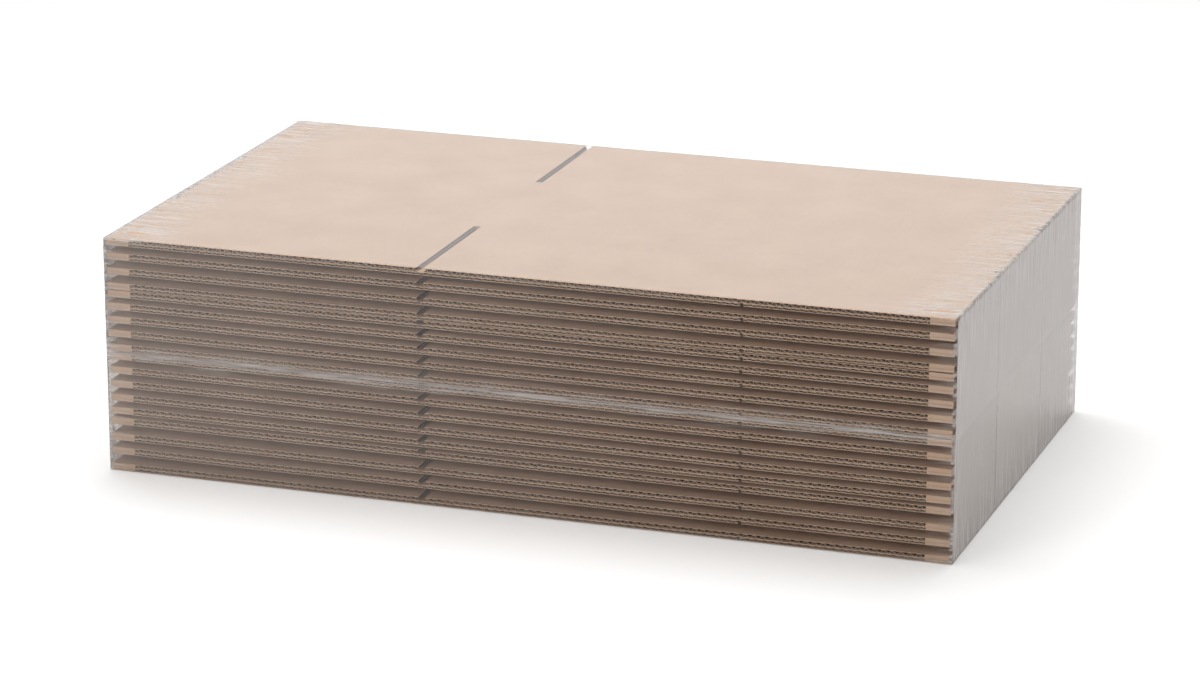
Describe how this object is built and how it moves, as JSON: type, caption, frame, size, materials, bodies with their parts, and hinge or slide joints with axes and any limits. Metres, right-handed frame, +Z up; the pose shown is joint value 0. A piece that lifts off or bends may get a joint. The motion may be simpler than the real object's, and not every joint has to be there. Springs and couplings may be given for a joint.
{
  "type": "shrink-wrapped pack of flattened cardboard boxes",
  "caption": "Stack of flattened corrugated cardboard cartons held tight in clear shrink film, lips and open flutes at the front and back, folds at the ends.",
  "frame": {"origin": "middle of the underside of the pack, on the surface it rests on", "axes": "+X along the carton lips, +Y from the front lips to the back lips, +Z up through the stack"},
  "size_m": [0.6504, 0.3754, 0.1799],
  "materials": {
    "kraft_board": "matt brown corrugated board",
    "clear_film": "clear glossy shrink film, hazy where it gathers at the ends"
  },
  "bodies": {
    "root": {"carton_01": "kraft_board", "carton_02": "kraft_board", "carton_03": "kraft_board", "carton_04": "kraft_board", "carton_05": "kraft_board", "carton_06": "kraft_board", "carton_07": "kraft_board", "carton_08": "kraft_board", "carton_09": "kraft_board", "carton_10": "kraft_board", "carton_11": "kraft_board", "carton_12": "kraft_board", "carton_13": "kraft_board", "carton_14": "kraft_board", "carton_15": "kraft_board", "carton_16": "kraft_board", "carton_17": "kraft_board", "carton_18": "kraft_board", "shrink_film": "clear_film"}
  },
  "joints": []
}
